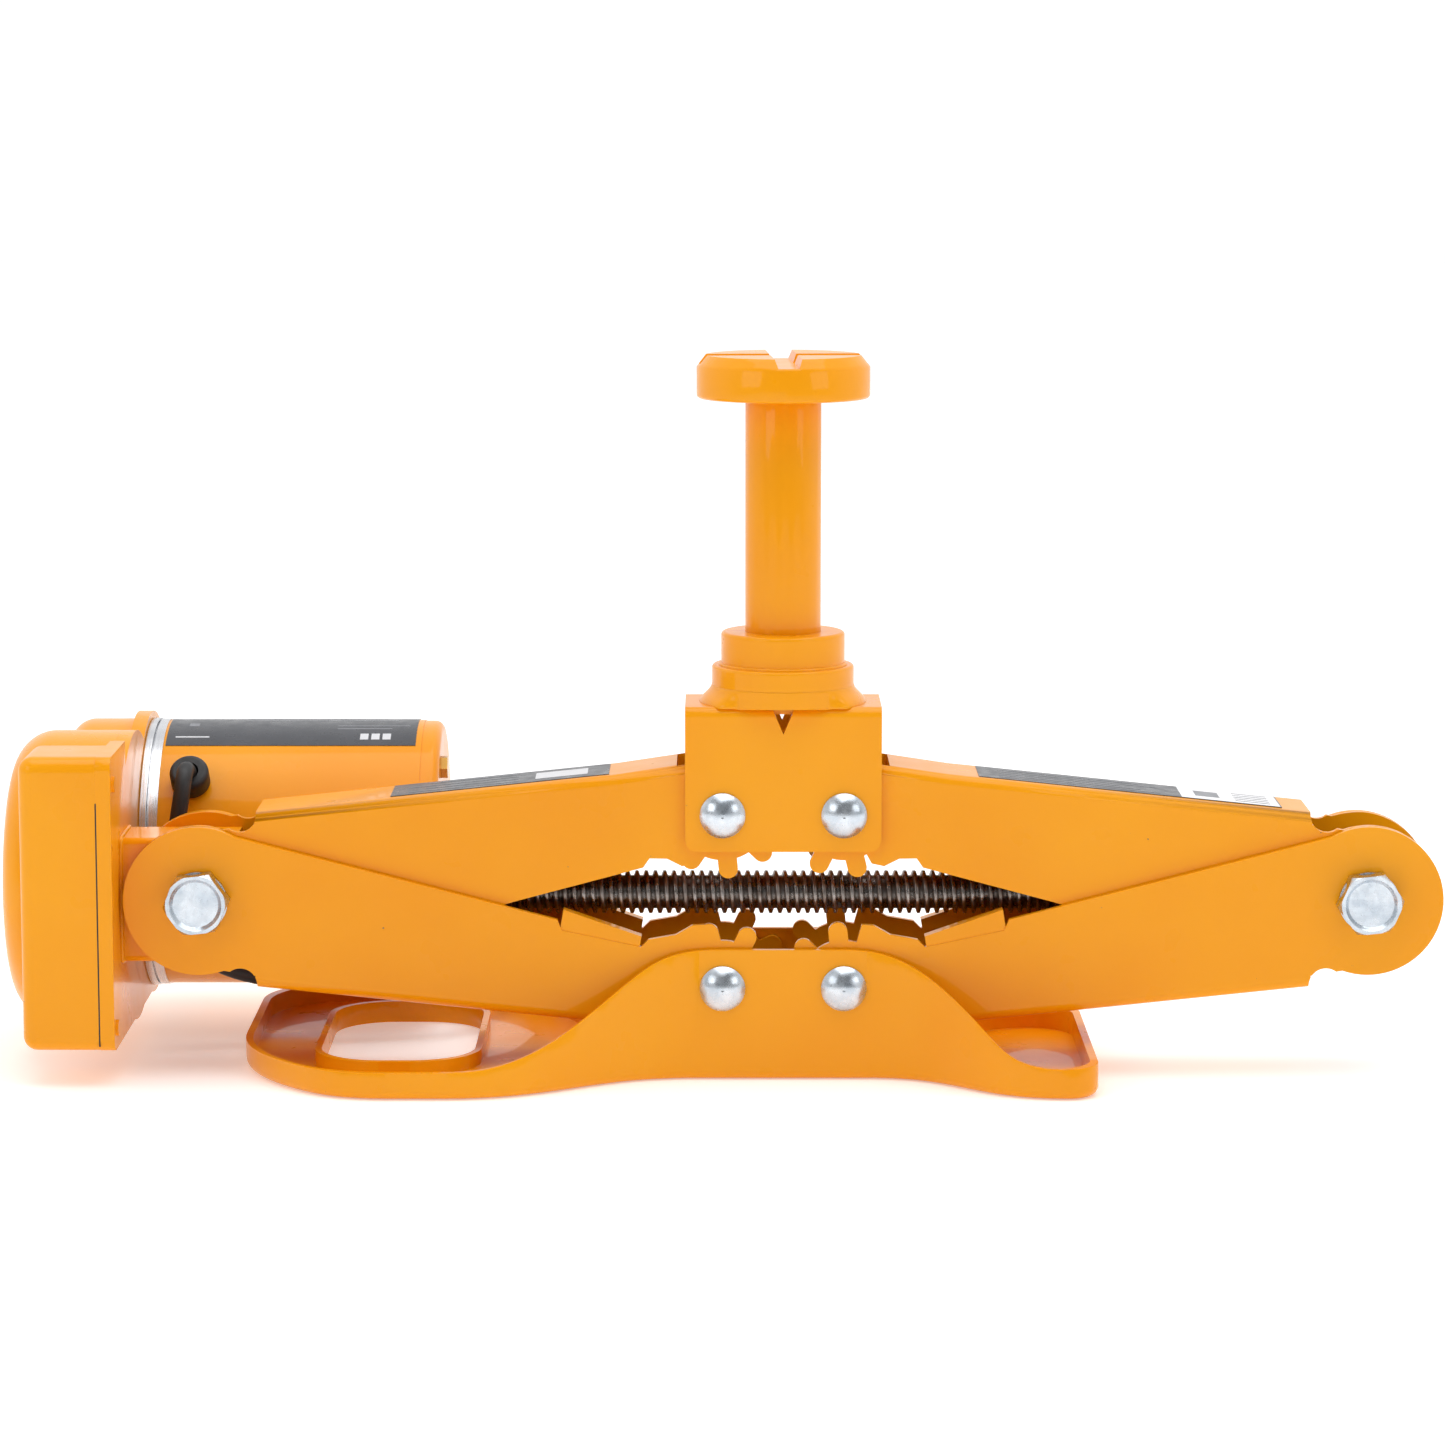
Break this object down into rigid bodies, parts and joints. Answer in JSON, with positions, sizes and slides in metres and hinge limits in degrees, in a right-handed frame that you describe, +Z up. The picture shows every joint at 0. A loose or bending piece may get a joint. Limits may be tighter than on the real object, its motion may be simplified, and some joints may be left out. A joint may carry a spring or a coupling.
{
  "type": "electric scissor car jack",
  "caption": "Electric scissor jack: geared 12 V motor turns a lead screw that draws hinged channel arms together, raising a saddle with a sliding post and turning head.",
  "frame": {"origin": "on the ground, under the lifting post and midway between the side plates", "axes": "+Z up along the lifting post, +X along the lead screw away from the gearbox, +Y towards the motor"},
  "size_m": [0.4653, 0.177, 0.2324],
  "materials": {
    "base_paint": "gloss orange paint",
    "arm_paint": "gloss orange paint",
    "saddle_paint": "gloss orange paint",
    "gearbox_paint": "gloss orange paint",
    "motor_paint": "gloss orange paint",
    "zinc": "bright zinc plating",
    "screw_steel": "dark oiled steel",
    "gear_steel": "machined steel",
    "flange_aluminium": "machined",
    "copper_brass": "bright",
    "ferrite": "matt",
    "label_film": "printed film",
    "cord_rubber": "matt",
    "plug_plastic": "moulded"
  },
  "bodies": {
    "base": {"base_plate": "base_paint", "lower_rivet_left": "zinc", "lower_rivet_right": "zinc"},
    "lower_arm_left": {"lower_arm_left": "arm_paint"},
    "carriage": {"trunnion_box": "gearbox_paint", "trunnion_bolts_left": "zinc", "gearbox_plate": "gearbox_paint", "gearbox_cover": "gearbox_paint", "cover_screws": "gearbox_paint", "thrust_bearing": "gear_steel", "idler_axle": "gear_steel", "motor_flange": "flange_aluminium", "motor_front_plate": "flange_aluminium", "front_bearing": "gear_steel", "motor_can": "motor_paint", "motor_end_cap": "motor_paint", "tie_bolt_nuts": "copper_brass", "motor_magnets": "ferrite", "brush_holder": "ferrite", "motor_label": "label_film", "cable_grommet": "cord_rubber", "cord_lead": "cord_rubber", "cord_coil": "cord_rubber", "cord_tail": "cord_rubber", "accessory_plug": "plug_plastic"},
    "upper_arm_left": {"upper_arm_left": "arm_paint", "arm_label_left": "label_film"},
    "saddle": {"saddle_bracket": "saddle_paint", "upper_rivet_left": "zinc", "upper_rivet_right": "zinc", "saddle_collar": "saddle_paint", "guide_sleeve": "saddle_paint"},
    "post": {"post_stem": "saddle_paint", "head_snap_ring": "zinc"},
    "head": {"saddle_head": "saddle_paint"},
    "lower_arm_right": {"lower_arm_right": "arm_paint"},
    "nut_block": {"nut_block": "screw_steel", "trunnion_bolts_right": "zinc"},
    "upper_arm_right": {"upper_arm_right": "arm_paint", "arm_label_right": "label_film"},
    "screw": {"lead_screw": "screw_steel", "screw_end_stop": "screw_steel", "screw_gear": "gear_steel"},
    "idler": {"idler_gear": "gear_steel"},
    "rotor": {"motor_shaft": "gear_steel", "armature_core": "gear_steel", "commutator": "copper_brass", "motor_pinion": "gear_steel"}
  },
  "joints": [
    {"name": "lift", "type": "hinge", "parent": "base", "child": "lower_arm_left", "pos_m": [-0.0195, 0, 0.03], "axis": [0, 1, 0], "range_deg": [0, 43.7]},
    {"name": "carriage_pivot", "type": "hinge", "parent": "lower_arm_left", "child": "carriage", "pos_m": [-0.1882, 0, 0.05793], "axis": [0, -1, 0], "range_deg": [-0.01, 43.71]},
    {"name": "upper_arm_left_pivot", "type": "hinge", "parent": "carriage", "child": "upper_arm_left", "pos_m": [-0.1882, 0, 0.05793], "axis": [0, -1, 0], "range_deg": [-0.01, 43.71]},
    {"name": "saddle_pivot", "type": "hinge", "parent": "upper_arm_left", "child": "saddle", "pos_m": [-0.0195, 0, 0.08586], "axis": [0, 1, 0], "range_deg": [-0.01, 43.71]},
    {"name": "lower_arm_right_pivot", "type": "hinge", "parent": "base", "child": "lower_arm_right", "pos_m": [0.0195, 0, 0.03], "axis": [0, -1, 0], "range_deg": [-0.01, 43.71]},
    {"name": "nut_block_pivot", "type": "hinge", "parent": "lower_arm_right", "child": "nut_block", "pos_m": [0.1882, 0, 0.05793], "axis": [0, 1, 0], "range_deg": [-0.01, 43.71]},
    {"name": "upper_arm_right_pivot", "type": "hinge", "parent": "nut_block", "child": "upper_arm_right", "pos_m": [0.1882, 0, 0.05793], "axis": [0, 1, 0], "range_deg": [-0.01, 43.71]},
    {"name": "post_slide", "type": "slide", "parent": "saddle", "child": "post", "axis": [0, 0, 1], "range_m": [-0.062, 0]},
    {"name": "head_turn", "type": "hinge", "parent": "post", "child": "head", "pos_m": [0, 0, 0.225], "axis": [0, 0, 1], "continuous": true},
    {"name": "screw_spin", "type": "hinge", "parent": "carriage", "child": "screw", "pos_m": [-0.2, 0, 0.05793], "axis": [1, 0, 0], "continuous": true},
    {"name": "idler_spin", "type": "hinge", "parent": "carriage", "child": "idler", "pos_m": [-0.234, 0.032, 0.05793], "axis": [1, 0, 0], "continuous": true},
    {"name": "rotor_spin", "type": "hinge", "parent": "carriage", "child": "rotor", "pos_m": [-0.16, 0.078, 0.05793], "axis": [1, 0, 0], "continuous": true}
  ],
  "couplings": [
    {"joint": "carriage_pivot", "follows": "lift", "ratio": 1},
    {"joint": "upper_arm_left_pivot", "follows": "lift", "ratio": 1},
    {"joint": "saddle_pivot", "follows": "lift", "ratio": 1},
    {"joint": "lower_arm_right_pivot", "follows": "lift", "ratio": 1},
    {"joint": "nut_block_pivot", "follows": "lift", "ratio": 1},
    {"joint": "upper_arm_right_pivot", "follows": "lift", "ratio": 1},
    {"joint": "idler_spin", "follows": "screw_spin", "ratio": -1.6667},
    {"joint": "rotor_spin", "follows": "screw_spin", "ratio": 13.667}
  ]
}
